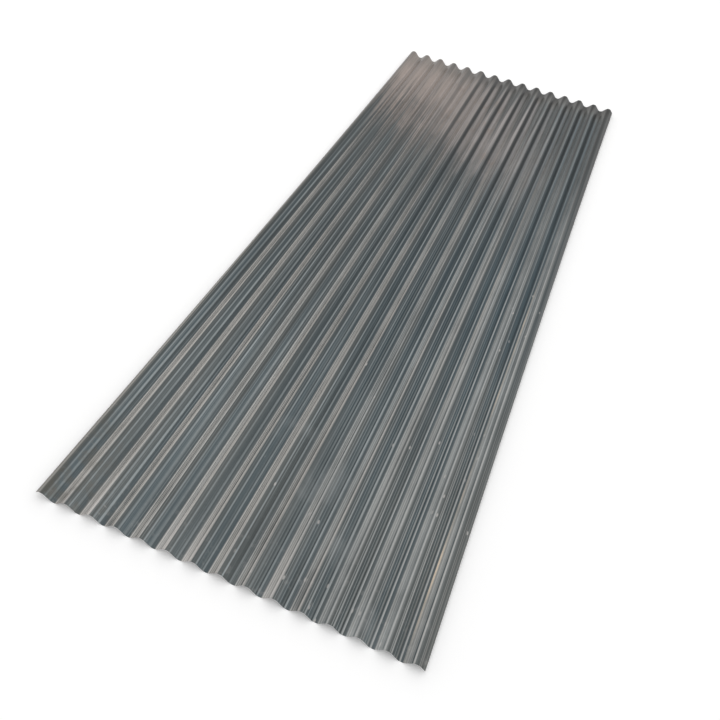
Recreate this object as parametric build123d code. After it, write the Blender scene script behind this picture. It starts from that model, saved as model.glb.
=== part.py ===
from build123d import *
from math import asin, atan2, cos, sin, tan
import os

# A roll-formed corrugated steel sheet that lies flat, crests up. X runs across the
# corrugations, Y along them and Z up. The origin is the middle of the bounding box's
# underside. All lengths are in millimetres.

# Driving dimensions
pitch = 67.733
depth = 22.225
sheet_length = 2743.2
sheet_thickness = 0.5
crest_count = 15

# Each crest and each trough is a round bend between two creases
bend_radius = 15.5
bend_width = 19.0

# How far the sheet runs on past its first and its last crest
left_lip = 13.5
right_lip = 20.3

# Worked out from the section above: how steep a bend is at its creases, how high it
# stands on them, and how steep the straight flank is between a crest and a trough
bend_lean = asin(bend_width / 2 / bend_radius)
bend_rise = bend_radius * (1 - cos(bend_lean))
crease_height = depth / 2 - bend_rise
flank_lean = atan2(2 * crease_height, pitch / 2 - bend_width)


def crease_point(centre, side, up, offset):
    """Return a crease of one skin of the sheet.

    The side is -1 or 1 for the left or right of its bend, and up is 1 on a crest and
    -1 in a trough. The offset is how far the skin lies above the middle of the wall.
    """
    lean = (bend_lean + flank_lean) / 2
    reach = offset / cos((flank_lean - bend_lean) / 2)
    x = centre + side * (bend_width / 2 + up * reach * sin(lean))
    z = up * crease_height + reach * cos(lean)
    return x, z


def lip_point(centre, side, lip, offset):
    """Return where one skin ends, on a cut square to the flank that reaches the edge."""
    drop = (lip - bend_width / 2) * tan(flank_lean)
    x = centre + side * (lip + offset * sin(flank_lean))
    z = crease_height - drop + offset * cos(flank_lean)
    return x, z


def skin_edges(offset):
    """Return one skin of the section: a straight flank, then a bend, and so on."""
    edges = []
    start = lip_point(0, -1, left_lip, offset)
    for bend in range(2 * crest_count - 1):
        centre = bend * pitch / 2
        up = 1 if bend % 2 == 0 else -1
        entry = crease_point(centre, -1, up, offset)
        middle = (centre, up * depth / 2 + offset)
        leave = crease_point(centre, 1, up, offset)
        edges.append(Edge.make_line(start, entry))
        edges.append(Edge.make_three_point_arc(entry, middle, leave))
        start = leave
    end = lip_point((crest_count - 1) * pitch, 1, right_lip, offset)
    edges.append(Edge.make_line(start, end))
    return edges


def make_corrugated_sheet():
    """Close the two skins at the sheet's edges and extrude them along its length."""
    upper = skin_edges(sheet_thickness / 2)
    lower = skin_edges(-sheet_thickness / 2)
    left_edge = Edge.make_line(upper[0] @ 0, lower[0] @ 0)
    right_edge = Edge.make_line(upper[-1] @ 1, lower[-1] @ 1)
    section = Face(Wire(upper + lower + [left_edge, right_edge]))
    sheet = extrude(Plane.XZ * section, amount=sheet_length / 2, both=True)
    box = sheet.bounding_box()
    return Pos(-box.center().X, 0, -box.min.Z) * sheet


os.makedirs("parts", exist_ok=True)
export_step(make_corrugated_sheet(), "parts/corrugated_sheet.step")
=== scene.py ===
import math

import bpy
from bpy.props import FloatProperty, FloatVectorProperty, IntProperty, PointerProperty
from mathutils import Matrix, Vector


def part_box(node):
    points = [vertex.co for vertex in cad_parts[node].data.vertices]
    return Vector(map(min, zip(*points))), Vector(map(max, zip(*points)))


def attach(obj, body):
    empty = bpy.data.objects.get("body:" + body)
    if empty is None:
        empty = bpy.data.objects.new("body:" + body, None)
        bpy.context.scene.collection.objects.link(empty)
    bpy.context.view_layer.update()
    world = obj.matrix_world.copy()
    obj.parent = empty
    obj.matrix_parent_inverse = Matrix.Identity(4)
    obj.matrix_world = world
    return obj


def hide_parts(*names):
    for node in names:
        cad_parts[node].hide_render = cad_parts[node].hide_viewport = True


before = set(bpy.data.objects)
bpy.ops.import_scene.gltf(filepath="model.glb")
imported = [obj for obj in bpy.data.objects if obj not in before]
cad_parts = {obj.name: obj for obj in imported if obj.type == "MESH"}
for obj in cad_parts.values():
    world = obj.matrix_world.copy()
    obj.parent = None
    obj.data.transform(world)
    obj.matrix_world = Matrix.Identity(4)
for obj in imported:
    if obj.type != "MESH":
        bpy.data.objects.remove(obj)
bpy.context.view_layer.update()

bl_info = {
    "name": "Corrugated Steel Sheet",
    "version": (1, 0, 0),
    "blender": (4, 5, 0),
    "location": "3D View > Sidebar > Corrugated Sheet",
    "description": "Makes a weathered galvanised roofing sheet and the studio it lies in",
    "category": "Object",
}

SHEET_NODE = "corrugated_sheet"
PHASE_ATTRIBUTE = "corrugation"

# Columns of faces in half a bend, in a crease and in a flank, and rows of points along the sheet
FACE_COLUMNS = (5, 1, 2)
POINT_ROWS = 49
MERGE_GAP = 0.00005
SHARP_ANGLE = math.radians(30)

# Below, a place across a corrugation is a share of the pitch, counted from its crest: the left
# flank is negative, the right flank positive, and a trough is at half a pitch on both sides
TROUGH = 0.5

# The lines that the rollers rubbed along each corrugation: where each lies, how far that
# drifts for each metre across the sheet, how wide the line is, how strong it is at the near
# end, and how much of that it loses further up
RUBBED_LINES = (
    (-0.39, 0.11, 0.042, 1.0, 0.30),
    (-0.31, 0.03, 0.022, 0.3, 0.50),
    (-0.24, 0.00, 0.022, 0.3, 0.50),
    (-0.105, 0.00, 0.036, 0.65, 0.6),
    (0.02, 0.00, 0.020, 0.05, 0.0),
    (0.12, -0.09, 0.036, 0.60, 0.15),
    (0.21, 0.00, 0.020, 0.10, 0.0),
    (0.31, 0.05, 0.042, 0.03, 0.0),
    (0.388, 0.17, 0.045, 0.58, -0.3),
    (0.46, 0.00, 0.022, 0.10, 0.0),
)
GROOVE_SPACING = 0.085

# Painted highlights and painted shade on the bands of the far half that are lighter or darker than
# the rest: where the middle of each lies, how wide it is to either side, and by what share it is
# lighter
FAR_LEFT_PAINTED_LIGHT = ((0.33, 0.24, 0.48), (-0.07, 0.15, -0.45), (TROUGH, 0.10, -0.30))
FAR_CENTRE_PAINTED_SHADE = ((-0.43, 0.10, -0.35), (-0.08, 0.13, -0.35))
FAR_RIGHT_PAINTED_LIGHT = ((0.09, 0.12, 1.2), (TROUGH, 0.09, 0.7), (-0.23, 0.14, 0.75), (-0.07, 0.12, -0.5))

# The crests, counted from 0 at the left, beside which the film is paler at the near end, the place of
# the tan line on that count, and where the lip past the last crest darkens, partly with painted shade
BLOOMED_CRESTS = (2, 5, 6, 9)
TAN_LINE = 13.6
LAST_LIP = (14.06, 14.13)

# The two soft light panels: place, the point it faces, width, height and colour
SIDE_PANEL = ((-2.9, 1.4, 0.85), (0, 0.2, 0), 4.5, 1.6, (1.0, 0.93, 0.86))
END_PANEL = ((-1.6, 3.6, 1.5), (-0.3, 1.0, 0), 2.4, 1.6, (1.0, 0.93, 0.88))
FLOOR_REACH = 30.0
WHITE = (1.0, 1.0, 1.0)

CAMERA_PLACE = (0.3909, -2.0319, 1.5845)
CAMERA_AIM = (0.005, -0.6222, 0.0114)
CAMERA_ROLL = math.radians(9.666)
FOCAL_LENGTH = 36.914
SENSOR_WIDTH = 36.0
SHIFT_X = 0.0153


class Value:
    """A socket of a node tree that Python's arithmetic can be used on."""

    def __init__(self, net, socket):
        self.net = net
        self.socket = socket

    def maths(self, operation, *others):
        return self.net.node("ShaderNodeMath", {"operation": operation}, [self, *others])

    def __add__(self, other):
        return self.maths("ADD", other)

    __radd__ = __add__

    def __sub__(self, other):
        return self.maths("SUBTRACT", other)

    def __rsub__(self, other):
        return self.maths("MULTIPLY_ADD", -1.0, other)

    def __mul__(self, other):
        return self.maths("MULTIPLY", other)

    __rmul__ = __mul__

    def __truediv__(self, other):
        return self.maths("DIVIDE", other)

    def ramp(self, low, high, start=0.0, end=1.0, ease="LINEAR"):
        """Go from start to end while this value goes from low to high, and stay there."""
        return self.net.node(
            "ShaderNodeMapRange",
            {"interpolation_type": ease},
            {"Value": self, "From Min": low, "From Max": high, "To Min": start, "To Max": end},
        )

    def rise(self, low, high):
        """Go smoothly from 0 to 1 while this value goes from low to high."""
        return self.ramp(low, high, ease="SMOOTHSTEP")


class Net:
    """Adds nodes to one tree."""

    def __init__(self, tree):
        self.tree = tree

    def node(self, kind, settings=None, values=None, output=0):
        """Add a node: its settings first, then the values or links of its sockets."""
        made = self.tree.nodes.new(kind)
        for name, setting in (settings or {}).items():
            setattr(made, name, setting)
        if isinstance(values, list):
            values = dict(enumerate(values))
        for name, value in (values or {}).items():
            socket = made.inputs[name]
            if isinstance(value, Value):
                self.tree.links.new(value.socket, socket)
            else:
                socket.default_value = value
        return Value(self, made.outputs[output])

    def inputs(self):
        """Add the tree's input node and return its sockets by name."""
        sockets = self.tree.nodes.new("NodeGroupInput").outputs
        return {socket.name: Value(self, socket) for socket in sockets if socket.name}

    def end(self, kind, socket, value):
        """Add the tree's output node and link a value to its socket."""
        self.tree.links.new(value.socket, self.tree.nodes.new(kind).inputs[socket])


def blend(net, factor, first, second):
    """Mix two colours, each a tuple or a socket."""
    colours = [c if isinstance(c, Value) else (*c, 1.0) for c in (first, second)]
    return net.node(
        "ShaderNodeMix",
        {"data_type": "RGBA"},
        {0: factor, 6: colours[0], 7: colours[1]},
        output=2,
    )


def scaled(net, vector, scale):
    """Multiply a colour or a place by one number."""
    return net.node(
        "ShaderNodeVectorMath", {"operation": "SCALE"}, {"Vector": vector, "Scale": scale}
    )


def line_at(distance, width):
    """A mask that is 1 on a line and fades to 0 at its width."""
    return 1 - distance.rise(width * 0.3, width)


def band(value, centre, width):
    """A mask that is 1 where a value is at the centre and fades to 0 at the width from it."""
    return line_at((value - centre).maths("ABSOLUTE"), width)


def sum_of_bands(phase, rows):
    """Add up the bands of one of the tables above."""
    total = 0.0
    for centre, width, amount in rows:
        if centre == TROUGH:
            mask = line_at(TROUGH - phase.maths("ABSOLUTE"), width)
        else:
            mask = band(phase, centre, width)
        total = total + amount * mask
    return total


class SheetProperties(bpy.types.PropertyGroup):
    """The sizes and colours of the sheet."""

    pitch: FloatProperty(
        name="Pitch", description="From one crest to the next", default=0.067733, unit="LENGTH"
    )
    depth: FloatProperty(
        name="Depth", description="From trough to crest", default=0.022225, unit="LENGTH"
    )
    thickness: FloatProperty(
        name="Thickness", description="Of the steel wall", default=0.0005, unit="LENGTH"
    )
    crests: IntProperty(name="Crests", description="Crests across the sheet", default=15)
    bend_radius: FloatProperty(
        name="Bend radius", description="Of a crest or a trough", default=0.0155, unit="LENGTH"
    )
    bend_width: FloatProperty(
        name="Bend width", description="Between a bend's two creases", default=0.019, unit="LENGTH"
    )
    left_lip: FloatProperty(
        name="Left lip", description="Past the first crest", default=0.0135, unit="LENGTH"
    )
    right_lip: FloatProperty(
        name="Right lip", description="Past the last crest", default=0.0203, unit="LENGTH"
    )
    crease_width: FloatProperty(
        name="Crease width", description="Over which a crease turns", default=0.001, unit="LENGTH"
    )
    bow: FloatProperty(
        name="Bow",
        description="How far a long edge draws in halfway along",
        default=0.005,
        unit="LENGTH",
    )
    wander: FloatProperty(
        name="Wander",
        description="How far the corrugations stray sideways",
        default=0.0012,
        unit="LENGTH",
    )
    press_share: FloatProperty(
        name="Press", description="Share by which the depth varies", default=0.03, subtype="FACTOR"
    )
    steel: FloatVectorProperty(
        name="Steel",
        description="Colour of the clean wall",
        default=(0.078, 0.100, 0.110),
        subtype="COLOR",
    )
    stained: FloatVectorProperty(
        name="Stained",
        description="Colour of the wall where it is stained",
        default=(0.099, 0.108, 0.107),
        subtype="COLOR",
    )
    deep: FloatVectorProperty(
        name="Deep",
        description="Colour of the wall where it is bluest",
        default=(0.066, 0.096, 0.113),
        subtype="COLOR",
    )
    # The film colours below are partly a chalky film on the left flanks and partly a painted sheen,
    # the light that those flanks catch
    film_and_sheen: FloatVectorProperty(
        name="Film",
        description="Colour of the chalky film",
        default=(0.363, 0.347, 0.326),
        subtype="COLOR",
    )
    cool_film_and_sheen: FloatVectorProperty(
        name="Cool film",
        description="Colour of the film where it is bluer",
        default=(0.312, 0.33, 0.332),
        subtype="COLOR",
    )
    # Painted glare: these three colours lay the soft reflection of a bright light on the far left
    # corner into the wall as a pale warm bloom
    glare_haze: FloatVectorProperty(
        name="Haze",
        description="Colour of the dull bloom on one corner",
        default=(0.335, 0.277, 0.247),
        subtype="COLOR",
    )
    thin_glare_haze: FloatVectorProperty(
        name="Thin haze",
        description="Colour of the bloom where it thins out",
        default=(0.29, 0.264, 0.254),
        subtype="COLOR",
    )
    brown_glare_haze: FloatVectorProperty(
        name="Brown haze",
        description="Colour of the bloom's brown patches",
        default=(0.285, 0.225, 0.193),
        subtype="COLOR",
    )
    bloom: FloatVectorProperty(
        name="Bloom",
        description="Colour of the pale patches, dashes and specks",
        default=(0.52, 0.5, 0.48),
        subtype="COLOR",
    )
    grime: FloatVectorProperty(
        name="Grime",
        description="Colour of the dirt along the edges",
        default=(0.106, 0.101, 0.088),
        subtype="COLOR",
    )
    worn: FloatVectorProperty(
        name="Worn",
        description="Colour of the lines rubbed into the film",
        default=(0.395, 0.388, 0.372),
        subtype="COLOR",
    )
    cool_worn: FloatVectorProperty(
        name="Cool worn",
        description="Colour of the lines rubbed into the steel",
        default=(0.32, 0.352, 0.36),
        subtype="COLOR",
    )
    tan_worn: FloatVectorProperty(
        name="Tan worn",
        description="Colour of the rubbed line before the last crest",
        default=(0.56, 0.47, 0.37),
        subtype="COLOR",
    )


class StageProperties(bpy.types.PropertyGroup):
    """The colours and lights of the studio."""

    floor: FloatVectorProperty(
        name="Floor", description="Colour of the floor", default=(0.96, 0.96, 0.96), subtype="COLOR"
    )
    floor_lift: FloatProperty(
        name="Floor lift",
        description="Glow that makes the seen floor as white as the room",
        default=0.05,
    )
    room_light: FloatProperty(
        name="Room light", description="Strength of the light from all round", default=0.95
    )
    side_light: FloatProperty(
        name="Side light", description="Power of the panel on the left", default=10.0, unit="POWER"
    )
    end_light: FloatProperty(
        name="End light", description="Power of the panel past the far end", default=6.0, unit="POWER"
    )


def new_wall_tree():
    """Make an empty tree with named inputs for the sizes of the wall."""
    tree = bpy.data.node_groups.new("corrugated wall", "GeometryNodeTree")
    tree.interface.new_socket("Geometry", in_out="OUTPUT", socket_type="NodeSocketGeometry")
    for name in ("Pitch", "Depth", "Bend Radius", "Bend Width", "Left Lip", "Right Lip",
                 "Crease Width", "Length", "Bow", "Wander", "Press", "Thickness"):
        tree.interface.new_socket(name, in_out="INPUT", socket_type="NodeSocketFloat")
    for name in ("Crests", "Rows"):
        tree.interface.new_socket(name, in_out="INPUT", socket_type="NodeSocketInt")
    tree.interface.new_socket("Material", in_out="INPUT", socket_type="NodeSocketMaterial")
    return tree


def place_across(size, column, past_crests):
    """Return how far right of the first crest a column of the grid lies.

    The columns come in cells of half a pitch, from a crest to a trough or back, and each cell
    is half a bend, a crease, a flank, a crease and half a bend.
    """
    bend_columns, crease_columns, flank_columns = FACE_COLUMNS
    cell_columns = 2 * bend_columns + 2 * crease_columns + flank_columns
    half_pitch = size["Pitch"] / 2
    rounding_slack = 0.001
    cell = (column / cell_columns + rounding_slack).maths("FLOOR")
    step = column - cell * cell_columns
    knots = [0, bend_columns, bend_columns + crease_columns]
    knots += [cell_columns - knot for knot in reversed(knots)]
    runs = [size["Bend Width"] / 2 - size["Crease Width"] / 2, size["Crease Width"]]
    runs += [half_pitch - size["Bend Width"] - size["Crease Width"], runs[1], runs[0]]
    run_in_cell = sum(
        step.ramp(knots[i], knots[i + 1], 0.0, run) for i, run in enumerate(runs)
    )
    across = (cell - 1) * half_pitch + run_in_cell
    across = across.maths("MAXIMUM", size["Left Lip"] * -1)
    return across.maths("MINIMUM", past_crests + size["Right Lip"])


def wall_height(size, across):
    """Return how high the wall's middle lies above the section's middle."""
    half_pitch = size["Pitch"] / 2
    half_bend = size["Bend Width"] / 2
    bend_lean = (half_bend / size["Bend Radius"]).maths("ARCSINE")
    bend_rise = size["Bend Radius"] * (1 - bend_lean.maths("COSINE"))
    flank_slope = (size["Depth"] - bend_rise * 2) / (half_pitch - size["Bend Width"])
    nearest = (across / half_pitch).maths("ROUND")
    crest_or_trough = (nearest * math.pi).maths("COSINE")
    off_centre = (across - nearest * half_pitch).maths("ABSOLUTE")
    squared = size["Bend Radius"] * size["Bend Radius"] - off_centre * off_centre
    bend_drop = size["Bend Radius"] - squared.maths("SQRT")
    flank_drop = bend_rise + (off_centre - half_bend) * flank_slope
    on_flank = off_centre.maths("GREATER_THAN", half_bend)
    drop = bend_drop + on_flank * (flank_drop - bend_drop)
    return crest_or_trough * (size["Depth"] / 2 - drop)


def flat_noise(net, across, along, detail):
    """Noise over the flat grid, from 0 to 1."""
    return net.node(
        "ShaderNodeTexNoise",
        {"noise_dimensions": "2D"},
        {
            "Vector": net.node("ShaderNodeCombineXYZ", values=[across, along, 0.0]),
            "Scale": 1.0,
            "Detail": detail,
        },
    )


def shape_wall(net, size):
    """Shape a flat grid into the wall's corrugated middle, with the wear of a used sheet."""
    bend_columns, crease_columns, flank_columns = FACE_COLUMNS
    pitch_columns = 2 * (2 * bend_columns + 2 * crease_columns + flank_columns)
    columns = size["Crests"] * pitch_columns
    grid = net.node(
        "GeometryNodeMeshGrid",
        values={
            "Size X": columns,
            "Size Y": size["Length"],
            "Vertices X": columns + 1,
            "Vertices Y": size["Rows"],
        },
    )
    place = net.node("GeometryNodeInputPosition")
    column = net.node("ShaderNodeSeparateXYZ", values=[place], output=0) + columns / 2
    along = net.node("ShaderNodeSeparateXYZ", values=[place], output=1)
    past_crests = (size["Crests"] - 1) * size["Pitch"]
    across = place_across(size, column, past_crests)

    waviness = flat_noise(net, across * 3.1, along * 1.3, 2.0)
    pressing = flat_noise(net, across * 9.0, along * 2.2 + 7.0, 3.0)
    height = wall_height(size, across) * (1 - size["Press"] * pressing)
    middle = (past_crests + size["Right Lip"] - size["Left Lip"]) / 2
    half_width = (past_crests + size["Right Lip"] + size["Left Lip"]) / 2
    end_share = along / (size["Length"] / 2)
    draw_in = 1 - (1 - end_share * end_share) * (size["Bow"] / half_width)
    edge_share = (across - middle) / half_width
    inside = 1 - edge_share * edge_share
    stray = size["Wander"] * (waviness - 0.5) * 2 * inside
    x = (across - middle) * draw_in + stray
    z = height + (size["Depth"] + size["Thickness"]) / 2
    marked = net.node(
        "GeometryNodeStoreNamedAttribute",
        {"data_type": "FLOAT", "domain": "POINT"},
        {"Geometry": grid, "Name": PHASE_ATTRIBUTE, "Value": across / size["Pitch"]},
    )
    shaped_place = net.node("ShaderNodeCombineXYZ", values=[x, along, z])
    return net.node("GeometryNodeSetPosition", values={"Geometry": marked, "Position": shaped_place})


def finish_tree(net, geometry, material):
    """End the tree as plain geometry with one material."""
    merged = net.node(
        "GeometryNodeMergeByDistance", values={"Geometry": geometry, "Distance": MERGE_GAP}
    )
    real = net.node("GeometryNodeRealizeInstances", values={"Geometry": merged})
    painted = net.node(
        "GeometryNodeSetMaterial", values={"Geometry": real, "Material": material}
    )
    net.end("NodeGroupOutput", "Geometry", painted)


def set_inputs(modifier, values):
    """Set the inputs of a Geometry Nodes modifier by the identifiers of their sockets."""
    for item in modifier.node_group.interface.items_tree:
        if item.in_out == "INPUT":
            modifier[item.identifier] = values[item.name]


def make_plain(piece, material):
    """Turn the piece's evaluated shape into its own mesh of one material."""
    graph = bpy.context.evaluated_depsgraph_get()
    mesh = bpy.data.meshes.new_from_object(
        piece.evaluated_get(graph), preserve_all_data_layers=True, depsgraph=graph
    )
    piece.modifiers.clear()
    piece.data = mesh
    mesh.name = piece.name
    mesh.materials.clear()
    mesh.materials.append(material)


class Pattern:
    """Where a point of the sheet lies, and the noises and zones that its marks share.

    x and y are metres from the sheet's middle: the left edge is at -0.49, the near end at
    -1.37 and the far end at 1.37. phase is the place across the corrugation, number counts
    its crest from 0 at the left, and count is the two added up.
    """

    def __init__(self, net):
        self.net = net
        self.place = net.node("ShaderNodeTexCoord", output="Object")
        self.x = net.node("ShaderNodeSeparateXYZ", values=[self.place], output="X")
        self.y = net.node("ShaderNodeSeparateXYZ", values=[self.place], output="Y")
        self.count = net.node(
            "ShaderNodeAttribute", {"attribute_name": PHASE_ATTRIBUTE}, output="Fac"
        )
        self.phase = (self.count + 0.5).maths("FRACT") - 0.5
        self.number = (self.count + 0.5).maths("FLOOR")

        # Streaks from broad to fine, and clouds from large to small
        self.tone = self.streaks(1.7, 0.45, 3.0)
        self.tint = self.streaks(2.3, 0.5, 47.0)
        self.fine = self.streaks(15.0, 0.6, 11.0)
        self.hair = self.streaks(21.0, 0.9, 23.0)
        self.blotch = self.clouds(5.0)
        self.mottle = self.clouds(140.0)

        # From 0 at the near end, away grows to 1 halfway along, and far from there to the end
        self.away = self.y.rise(-1.2, 0.0)
        self.far = self.y.rise(-0.2, 1.2)
        self.right = self.x.rise(0.1, 0.35)
        self.rightmost = self.x.rise(0.1, 0.4)
        self.calm = 1 - 0.6 * self.x.rise(0.05, 0.3)
        # The right flanks of the far half, where painted shade darkens the colour
        leaned = self.phase - 0.15 * self.x
        self.shaded_far_flank = leaned.rise(0.13, 0.22) * (1 - leaned.rise(0.30, 0.40))
        self.slid = self.slide()
        self.film_and_sheen_side = self.side_with_film_and_sheen()
        wavy = self.phase + 0.395 - 0.05 * self.x + 0.015 * self.tone
        self.groove = (wavy * (2 * math.pi / GROOVE_SPACING)).maths("COSINE")

    def noise(self, vector, detail, roughness=0.55):
        """Noise about 0."""
        made = self.net.node(
            "ShaderNodeTexNoise",
            {"noise_dimensions": "3D"},
            {"Vector": vector, "Scale": 1.0, "Detail": detail, "Roughness": roughness},
        )
        return made - 0.5

    def streaks(self, across_scale, along_scale, shift, detail=1.0):
        """Noise drawn out along the corrugations, finer across the larger its first scale."""
        spot = [self.count * across_scale, self.y * along_scale + shift, shift]
        return self.noise(self.net.node("ShaderNodeCombineXYZ", values=spot), detail)

    def clouds(self, scale):
        """Noise that is the same in all directions."""
        return self.noise(scaled(self.net, self.place, scale), 3.0, 0.6)

    def strewn(self, across_scale, along_scale):
        """How far the nearest of many strewn points is."""
        stretched = self.net.node(
            "ShaderNodeVectorMath",
            {"operation": "MULTIPLY"},
            [self.place, (across_scale, along_scale, 0.0)],
        )
        return self.net.node(
            "ShaderNodeTexVoronoi", {"voronoi_dimensions": "2D"}, {"Vector": stretched, "Scale": 1.0}
        )

    def slide(self):
        """The phase that the film's top and the lines follow, a little off near the corners."""
        near_left = (1 - self.x.rise(-0.35, -0.05)) * (1 - self.away)
        slid = self.phase - 0.06 * near_left * band(self.phase, -0.09, 0.16)
        return slid - 0.05 * self.rightmost * band(self.phase, 0.1, 0.2)

    def side_with_film_and_sheen(self):
        """The left side of each corrugation, from near the trough to near the crest, where the film
        and its painted sheen lie.
        """
        foot = self.phase - 0.06 * self.x
        top = self.slid + (0.05 - 0.07 * self.right) * self.away
        from_foot = foot.rise(-0.47 - 0.02 * self.away, -0.39 + 0.04 * self.away)
        return from_foot * (1 - top.rise(-0.11, -0.03))


def film_and_sheen_amount(at):
    """How thick the chalky film lies, in fine streaks: partly a real film and partly a painted sheen
    on the left flanks, which face the light.
    """
    gap = band(at.phase + 0.02 * at.tone, -0.19, 0.05)
    near_end = 1 - at.y.rise(-1.37, -1.1)
    film_and_sheen = 0.86 + 0.9 * at.tone + 1.2 * at.fine + 0.8 * at.hair
    film_and_sheen = film_and_sheen + 0.5 * at.blotch + near_end * 1.5 * at.blotch
    film_and_sheen = film_and_sheen + 0.32 * at.groove * (1 - 0.25 * at.away) - 0.22 * at.x.rise(0.25, 0.42)
    return (at.film_and_sheen_side * film_and_sheen * (1 - 0.38 * gap) * (1 - 0.75 * at.far)).ramp(0.0, 1.0)


def painted_glare_amounts(at):
    """How strong the painted glare on the far left corner is, laid in as a pale warm bloom, and the
    dark Vs of painted shade that it ends in.
    """
    past_haze = at.y - 0.78 + 0.6 * at.x - at.x.ramp(-0.14, 0.0, 0.4, 0.0)
    spread = (0.6 * past_haze).ramp(0.0, 0.33, 0.0, 0.33)
    off_core = (at.phase + 0.15 + 0.1 * at.fine).maths("ABSOLUTE")
    v_shade_mask = 1 - off_core.rise(spread - 0.12, spread + 0.07)
    glare_haze = (at.y + 0.65 * at.x + 0.4 * at.blotch + 0.6 * at.fine).rise(0.38, 0.85)
    glare_haze = glare_haze * (1 - at.x.rise(0.0, 0.4)) * (1 - v_shade_mask)
    glare_haze = glare_haze * (1 - 0.85 * at.shaded_far_flank * at.x.rise(-0.3, -0.05))
    glare_haze = glare_haze * (1 - 0.5 * at.streaks(5.0, 2.6, 31.0, 2.0).rise(0.02, 0.22))
    return glare_haze, v_shade_mask


def line_amount(at):
    """How strong the rubbed lines are, each of them worn thin here and there."""
    lines = (0.5 * at.fine + 0.5 * at.hair).maths("MAXIMUM", 0.0) * at.calm
    more_lines = 0.6 * at.x.rise(0.0, 0.35) * (1 - at.y.rise(-0.9, 0.0))
    for order, (where, drift, width, strength, fade) in enumerate(RUBBED_LINES):
        spot = [at.number * 3.7, at.y * 0.8, order * 9.0]
        wear = at.noise(at.net.node("ShaderNodeCombineXYZ", values=spot), 1.0)
        off = (at.slid - where - drift * at.x + 0.05 * wear).maths("ABSOLUTE")
        strong = (strength + more_lines * (1 - 0.8 * strength) + 1.6 * wear).ramp(0.0, 1.0)
        lines = lines + line_at(off, width) * strong * (1 - fade * at.away)
    left_edge = 1 - at.x.rise(-0.47, -0.3)
    lines = lines * (1 - 0.3 * left_edge * at.phase.rise(0.0, 0.1))
    return lines * (1 - 0.12 * at.right)


def bare_steel(at, sheet, dirty_corner):
    """The bare wall: stained in streaks, bluest right of the crests, and darker further up."""
    net = at.net
    on_crest = 1 - (at.phase - 0.02).maths("ABSOLUTE").rise(0.05, 0.2)
    stain = 0.45 + 2.0 * at.tint + 0.5 * on_crest - 0.15 * at.away
    stain = stain - 0.4 * at.x.rise(-0.3, 0.2) * at.away
    steel = blend(net, stain.ramp(0.0, 1.0), sheet.steel, sheet.stained)
    right_side = (at.phase - 0.08 * at.far).rise(0.0, 0.15) + 1 - at.phase.rise(-0.5, -0.4)
    steel = blend(net, at.x.rise(-0.25, 0.2) * at.away * right_side, steel, sheet.deep)
    steel = blend(net, 0.6 * at.far * (1 - 0.5 * at.right), steel, sheet.stained)
    steel = scaled(net, steel, 0.97 - 0.31 * at.away * (1 - 0.5 * at.right))
    return blend(net, 0.5 * dirty_corner, steel, sheet.grime)


def layered_colour(at, sheet, film_and_sheen, glare_haze, lines):
    """Lay the film with its painted sheen, the rubbed lines, the painted glare of the far left corner
    and the dirt over the bare wall.
    """
    net = at.net
    far_edge = at.y.rise(1.2, 1.35) * (1 + 0.5 * at.x)
    dirty_edge = at.x.maths("ABSOLUTE").rise(0.465, 0.49).maths("MAXIMUM", far_edge)
    patches = (0.35 + 5.0 * at.clouds(24.0)).ramp(0.0, 1.0)
    dirty_corner = (1 - (at.x + 0.5 * at.y).rise(-1.14, -0.9)) * patches
    cool = (0.35 + 3.0 * at.tint + (1.3 - 0.6 * at.away) * at.x).ramp(0.0, 1.0)
    film_and_sheen_colour = blend(net, cool, sheet.film_and_sheen, sheet.cool_film_and_sheen)
    colour = blend(net, film_and_sheen, bare_steel(at, sheet, dirty_corner), film_and_sheen_colour)

    warm_side = at.rightmost * (1 - 0.5 * at.away)
    cool_line = at.phase.rise(-0.1, 0.05).maths("MAXIMUM", cool * 0.6) * (1 - 0.65 * warm_side)
    worn = blend(net, cool_line, sheet.worn, sheet.cool_worn)
    tan_line = band(at.count, TAN_LINE, 0.05) * (1 - at.y.rise(-0.3, 0.3))
    tan_line = tan_line * (0.55 + 3.0 * at.clouds(2.3)).ramp(0.15, 1.0)
    worn = blend(net, tan_line, worn, sheet.tan_worn)
    shown_lines = ((lines + tan_line) * (1 - 0.85 * at.far)).ramp(0.0, 1.0)
    colour = blend(net, shown_lines, colour, worn)

    # Painted glare on the far left corner, laid over the colour as a pale warm bloom
    glare_haze_colour = blend(net, at.x.rise(-0.35, 0.1), sheet.glare_haze, sheet.thin_glare_haze)
    brown = 0.8 * at.clouds(4.3).rise(0.02, 0.14)
    glare_haze_colour = blend(net, brown, glare_haze_colour, sheet.brown_glare_haze)
    colour = blend(net, 0.85 * glare_haze, colour, glare_haze_colour)
    dirt = (0.6 * dirty_edge).maths("MAXIMUM", 0.45 * dirty_corner)
    return blend(net, dirt, colour, sheet.grime)


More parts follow.
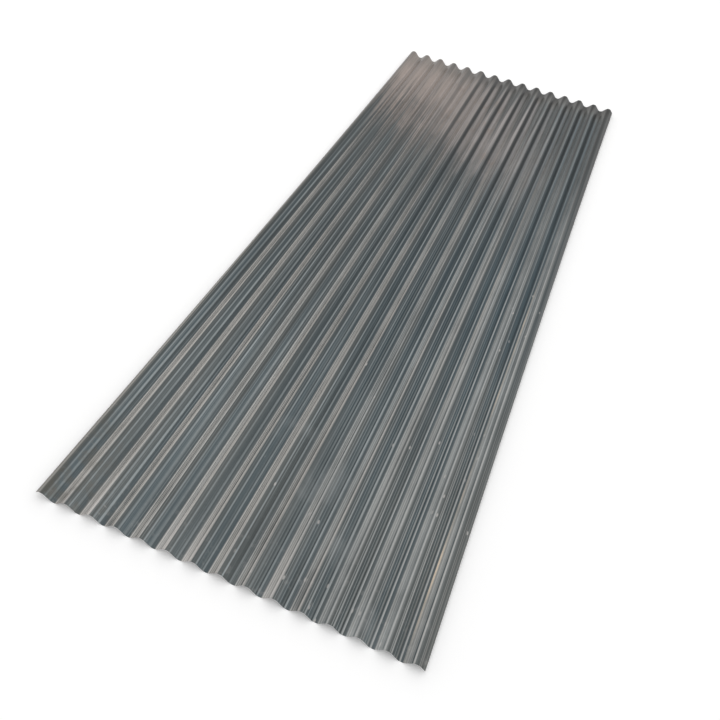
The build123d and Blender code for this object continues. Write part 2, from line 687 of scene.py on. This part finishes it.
def add_pale_marks(at, sheet, colour):
    """Add the smears, the paler film of the near end, and the strewn dashes and specks."""
    net = at.net
    smear = (1 - at.y.rise(-1.3, -0.5)) * at.clouds(3.7).rise(0.06, 0.2)
    colour = blend(net, 0.35 * smear, colour, sheet.cool_film_and_sheen)
    near_tip = 1 - (at.y + 0.4 * at.blotch).rise(-1.37, -1.15)
    bloomed = sum(band(at.number, crest, 0.9) for crest in BLOOMED_CRESTS)
    bloom = near_tip * (bloomed * at.film_and_sheen_side + 0.2 * at.clouds(40.0).rise(0.05, 0.2))
    colour = blend(net, 0.6 * bloom, colour, sheet.bloom)
    dashed_areas = (at.clouds(3.7) - 0.2 * at.x - 0.1 * at.y).rise(0.24, 0.32)
    dashes = (1 - at.strewn(11.0, 42.0).rise(0.04, 0.09)) * dashed_areas
    colour = blend(net, 0.3 * dashes, colour, sheet.bloom)
    specked_areas = (at.clouds(3.1) + 0.1 * at.x - 0.1 * at.y).rise(0.15, 0.22)
    specks = (1 - at.strewn(23.0, 9.0).rise(0.03, 0.07)) * specked_areas
    return blend(net, 0.6 * specks, colour, sheet.bloom)


def streak_shade(at):
    """How light the streaks make the colour, and the painted light on the bands of the near half:
    paler right flanks and a painted highlight low on the left flanks.
    """
    hairs = at.hair * at.calm.maths("MAXIMUM", at.film_and_sheen_side)
    shade = 1 + 0.3 * at.tone + 0.35 * hairs + 0.16 * at.mottle + 0.3 * at.blotch
    shade = shade + (0.45 + 0.35 * at.x.rise(-0.1, 0.3)) * at.fine * at.far
    near_half = 1 - at.far
    # Painted light: the right flanks of the near half are made paler, as if they caught more light
    lit_right_flank = at.phase.rise(0.14, 0.22) * (1 - at.phase.rise(0.30, 0.38))
    painted_flank_light = 0.35 + (0.4 + 0.2 * at.away) * at.rightmost
    shade = shade * (1 + painted_flank_light * near_half * lit_right_flank) * (1 - 0.1 * at.away)
    # Painted highlight low on each left flank
    painted_film_foot_light = band(at.phase - 0.05 * at.x, -0.34, 0.14)
    shade = shade * (1 + (0.25 + 0.1 * at.away) * near_half * painted_film_foot_light)
    return shade * (1 + 0.12 * at.groove * at.film_and_sheen_side * near_half * at.calm)


def far_shade(at, v_shade):
    """How much lighter or darker the painted highlights and painted shade make the bands of the far
    half and its edges.
    """
    # Painted shade on the right flanks of the far half
    flank = at.shaded_far_flank * at.x.rise(-0.3, -0.05)
    shade = 1 - (0.5 - 0.5 * at.x) * at.far * flank
    # Painted highlights and painted shade across the corrugations of the far left and far centre
    far_left = at.far * (1 - at.x.rise(-0.3, 0.0))
    shade = shade * (1 + far_left * sum_of_bands(at.phase, FAR_LEFT_PAINTED_LIGHT))
    far_centre = at.far * at.x.rise(-0.2, -0.05) * (1 - at.x.rise(0.1, 0.25))
    shade = shade * (1 + far_centre * sum_of_bands(at.phase, FAR_CENTRE_PAINTED_SHADE))
    # Painted highlights along the crests and troughs of the far right, with painted shade between
    far_right = at.far * at.x.rise(-0.1, 0.3)
    glint = sum_of_bands(at.phase, FAR_RIGHT_PAINTED_LIGHT) - 0.15 * v_shade - 0.13
    shade = shade * (1 + far_right * glint) * (1 - 0.12 * at.far * at.x.rise(0.1, 0.45))
    # The lip past the last crest and the tips of the far end are darkened, partly with painted shade
    last_lip = (at.count + 0.11 * at.far).rise(*LAST_LIP)
    shade = shade * (1 - (0.35 + 0.35 * at.far) * last_lip)
    return shade * (1 - 0.75 * at.y.rise(1.26, 1.36) * at.x.rise(-0.45, 0.1))


def steel_material(sheet):
    """Weathered zinc: clean bluish steel, a chalky film with a painted sheen on one side, rubbed
    lines, and painted glare and painted shade on the far half.
    """
    material = bpy.data.materials.new("weathered galvanised steel")
    material.use_nodes = True
    material.node_tree.nodes.clear()
    net = Net(material.node_tree)
    at = Pattern(net)
    film_and_sheen = film_and_sheen_amount(at)
    glare_haze, v_shade = painted_glare_amounts(at)
    lines = line_amount(at)
    colour = layered_colour(at, sheet, film_and_sheen, glare_haze, lines)
    colour = add_pale_marks(at, sheet, colour)
    colour = scaled(net, colour, streak_shade(at) * far_shade(at, v_shade))
    relief = at.fine + at.hair * 0.4 + lines * 0.3 + at.mottle * 0.03
    bump = net.node(
        "ShaderNodeBump", values={"Strength": 0.3, "Distance": 0.0005, "Height": relief}
    )
    surface = net.node(
        "ShaderNodeBsdfPrincipled",
        values={
            "Base Color": colour,
            "Metallic": 0.75 - 0.55 * film_and_sheen.maths("MAXIMUM", glare_haze),
            "Roughness": 0.36 + 0.14 * film_and_sheen + 0.15 * at.blotch,
            "Normal": bump,
        },
    )
    net.end("ShaderNodeOutputMaterial", "Surface", surface)
    return material


class OBJECT_OT_make_corrugated_sheet(bpy.types.Operator):
    """Shape the sheet's corrugated wall, thicken it and give it its weathered steel"""

    bl_idname = "object.make_corrugated_sheet"
    bl_label = "Make corrugated sheet"

    def execute(self, context):
        sheet = context.scene.corrugated_sheet
        low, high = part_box(SHEET_NODE)
        tree = new_wall_tree()
        net = Net(tree)
        size = net.inputs()
        finish_tree(net, shape_wall(net, size), size["Material"])
        material = steel_material(sheet)
        piece = bpy.data.objects.new("roofing_sheet", bpy.data.meshes.new("roofing_sheet"))
        context.scene.collection.objects.link(piece)
        shaper = piece.modifiers.new("wall", "NODES")
        shaper.node_group = tree
        set_inputs(shaper, {
            "Pitch": sheet.pitch,
            "Depth": sheet.depth,
            "Bend Radius": sheet.bend_radius,
            "Bend Width": sheet.bend_width,
            "Left Lip": sheet.left_lip,
            "Right Lip": sheet.right_lip,
            "Crease Width": sheet.crease_width,
            "Length": high.y - low.y,
            "Bow": sheet.bow,
            "Wander": sheet.wander,
            "Press": sheet.press_share,
            "Thickness": sheet.thickness,
            "Crests": sheet.crests,
            "Rows": POINT_ROWS,
            "Material": material,
        })
        wall = piece.modifiers.new("thickness", "SOLIDIFY")
        wall.thickness = sheet.thickness
        wall.offset = 0.0
        wall.use_even_offset = True
        make_plain(piece, material)
        piece.data.shade_smooth()
        piece.data.set_sharp_from_angle(angle=SHARP_ANGLE)
        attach(piece, "root")
        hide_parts(SHEET_NODE)
        return {"FINISHED"}


def add_panel(name, power, centre, aim, width, height, colour):
    """Add a soft light panel that faces a point and that the camera doesn't see."""
    lamp = bpy.data.lights.new(name, "AREA")
    lamp.shape = "RECTANGLE"
    lamp.size = width
    lamp.size_y = height
    lamp.energy = power
    lamp.color = colour
    panel = bpy.data.objects.new(name, lamp)
    facing = (Vector(aim) - Vector(centre)).to_track_quat("-Z", "Y")
    panel.matrix_world = Matrix.Translation(centre) @ facing.to_matrix().to_4x4()
    panel.visible_camera = False
    bpy.context.scene.collection.objects.link(panel)


def shown_share(net):
    """Return 1 where a thing is seen or mirrored, and 0 where it only gives light."""
    seen = net.node("ShaderNodeLightPath", output="Is Camera Ray")
    mirrored = net.node("ShaderNodeLightPath", output="Is Glossy Ray")
    through = net.node("ShaderNodeLightPath", output="Is Transmission Ray")
    return seen.maths("MAXIMUM", mirrored).maths("MAXIMUM", through)


def make_world(scene, room_light):
    """White where it is seen or mirrored, and a plain soft light for everything else."""
    world = bpy.data.worlds.new("studio")
    scene.world = world
    world.use_nodes = True
    world.node_tree.nodes.clear()
    net = Net(world.node_tree)
    strength = shown_share(net).ramp(0.0, 1.0, room_light, 1.0)
    light = net.node("ShaderNodeBackground", values={"Color": (*WHITE, 1.0), "Strength": strength})
    net.end("ShaderNodeOutputWorld", "Surface", light)


def make_floor(scene, colour, floor_lift):
    """A wide pale floor that the sheet lies on and throws its shadow on."""
    mesh = bpy.data.meshes.new("studio_floor")
    turns = ((-1, -1), (1, -1), (1, 1), (-1, 1))
    corners = [(x * FLOOR_REACH, y * FLOOR_REACH, 0) for x, y in turns]
    mesh.from_pydata(corners, [], [(0, 1, 2, 3)])
    floor = bpy.data.objects.new("studio_floor", mesh)
    scene.collection.objects.link(floor)
    material = bpy.data.materials.new("pale floor")
    material.use_nodes = True
    material.node_tree.nodes.clear()
    net = Net(material.node_tree)
    shown = shown_share(net)
    tone = blend(net, shown, colour, WHITE)
    paint = net.node("ShaderNodeBsdfDiffuse", values={"Color": tone})
    lift = net.node("ShaderNodeEmission", values={"Strength": shown * floor_lift})
    lifted = net.node("ShaderNodeAddShader", values=[paint, lift])
    net.end("ShaderNodeOutputMaterial", "Surface", lifted)
    mesh.materials.append(material)


def make_camera(scene):
    """Stand at the photograph's viewpoint, tilted by its small roll."""
    lens = bpy.data.cameras.new("camera")
    lens.lens = FOCAL_LENGTH
    lens.sensor_width = SENSOR_WIDTH
    lens.shift_x = SHIFT_X
    camera = bpy.data.objects.new("camera", lens)
    place = Vector(CAMERA_PLACE)
    facing = (Vector(CAMERA_AIM) - place).to_track_quat("-Z", "Y").to_matrix().to_4x4()
    roll = Matrix.Rotation(CAMERA_ROLL, 4, "Z")
    camera.matrix_world = Matrix.Translation(place) @ facing @ roll
    scene.collection.objects.link(camera)
    scene.camera = camera


class OBJECT_OT_make_sheet_stage(bpy.types.Operator):
    """Lay the pale floor, hang the soft lights and place the camera"""

    bl_idname = "object.make_sheet_stage"
    bl_label = "Make sheet stage"

    def execute(self, context):
        scene = context.scene
        stage = scene.sheet_stage
        make_floor(scene, stage.floor, stage.floor_lift)
        make_world(scene, stage.room_light)
        add_panel("side_panel", stage.side_light, *SIDE_PANEL)
        add_panel("end_panel", stage.end_light, *END_PANEL)
        make_camera(scene)
        scene.view_settings.view_transform = "Standard"
        return {"FINISHED"}


class VIEW3D_PT_corrugated_sheet(bpy.types.Panel):
    """Lists the sheet's sizes, colours and operators"""

    bl_label = "Corrugated Sheet"
    bl_space_type = "VIEW_3D"
    bl_region_type = "UI"
    bl_category = "Corrugated Sheet"

    def draw(self, context):
        for group in (context.scene.corrugated_sheet, context.scene.sheet_stage):
            for name in group.__annotations__:
                self.layout.prop(group, name)
        self.layout.operator(OBJECT_OT_make_corrugated_sheet.bl_idname)
        self.layout.operator(OBJECT_OT_make_sheet_stage.bl_idname)


CLASSES = (
    SheetProperties,
    StageProperties,
    OBJECT_OT_make_corrugated_sheet,
    OBJECT_OT_make_sheet_stage,
    VIEW3D_PT_corrugated_sheet,
)


def register():
    for cls in CLASSES:
        bpy.utils.register_class(cls)
    bpy.types.Scene.corrugated_sheet = PointerProperty(type=SheetProperties)
    bpy.types.Scene.sheet_stage = PointerProperty(type=StageProperties)


def unregister():
    del bpy.types.Scene.sheet_stage
    del bpy.types.Scene.corrugated_sheet
    for cls in reversed(CLASSES):
        bpy.utils.unregister_class(cls)


def main():
    register()
    bpy.ops.object.make_corrugated_sheet()
    bpy.ops.object.make_sheet_stage()


if __name__ == "__main__":
    main()
